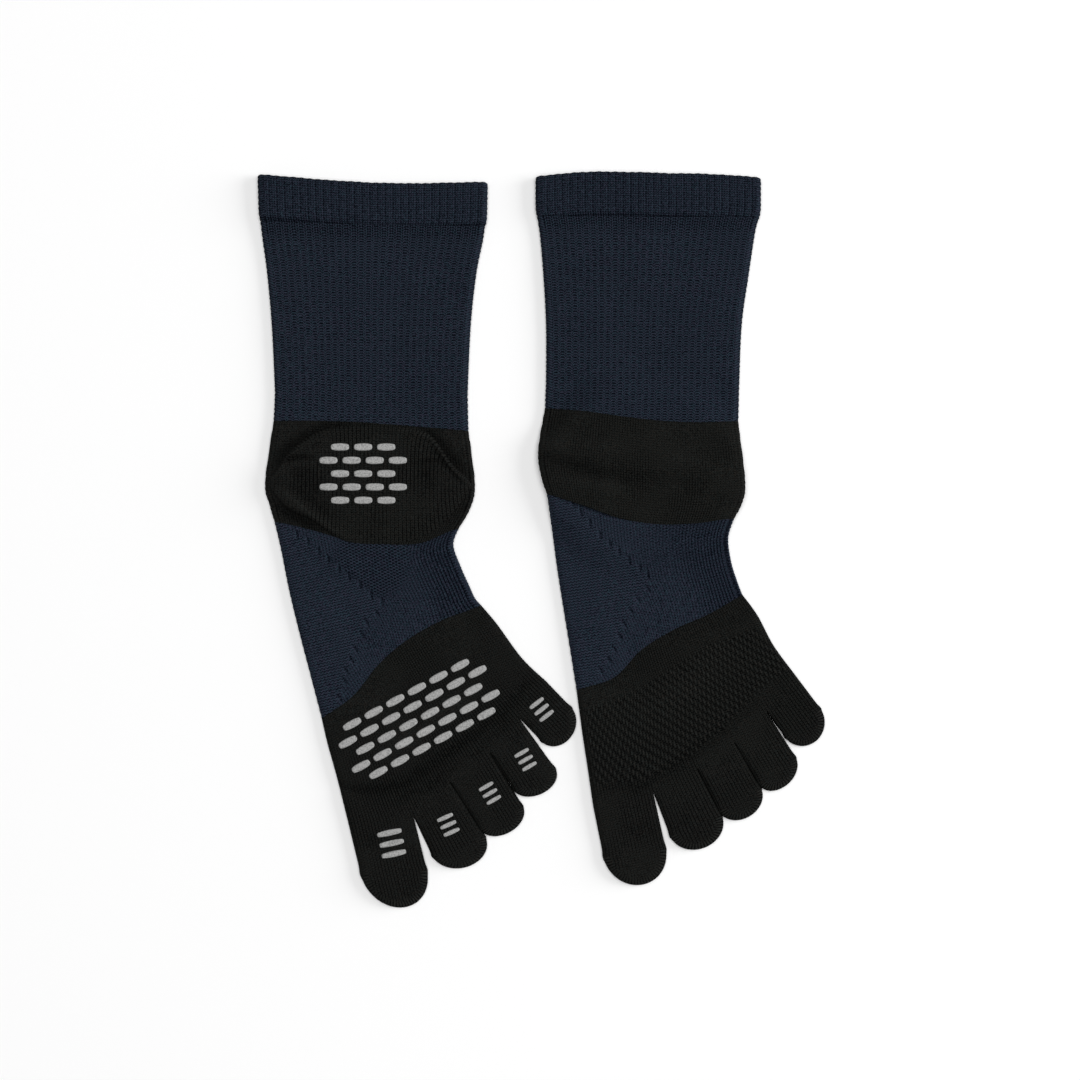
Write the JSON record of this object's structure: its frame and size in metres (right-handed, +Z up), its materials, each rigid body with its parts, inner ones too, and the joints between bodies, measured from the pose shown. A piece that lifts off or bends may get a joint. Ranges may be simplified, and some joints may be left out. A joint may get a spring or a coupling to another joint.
{
  "type": "pair of toe socks",
  "caption": "Knitted crew-length toe socks laid flat side by side, one sole up with its heel pocket folded over and one instep up, with separate toe pockets and grip print.",
  "frame": {"origin": "centre of the pair's footprint, on the surface that it lies on", "axes": "+X to the right across the pair, +Y from the toes towards the cuffs, +Z up from the surface"},
  "size_m": [0.2264, 0.2936, 0.0065],
  "materials": {
    "navy_knit": "ribbed and plain cotton-blend knit, matte",
    "black_knit": "dense plain cotton-blend knit, matte",
    "grip_print": "raised grey silicone grip print, matte"
  },
  "bodies": {
    "root": {"sole_up_cuff": "navy_knit", "sole_up_leg": "navy_knit", "sole_up_heel": "black_knit", "sole_up_heel_pocket": "black_knit", "sole_up_arch": "navy_knit", "sole_up_forefoot": "black_knit", "instep_up_cuff": "navy_knit", "instep_up_leg": "navy_knit", "instep_up_heel": "black_knit", "instep_up_heel_pocket": "black_knit", "instep_up_arch": "navy_knit", "instep_up_forefoot": "black_knit"}
  },
  "joints": []
}
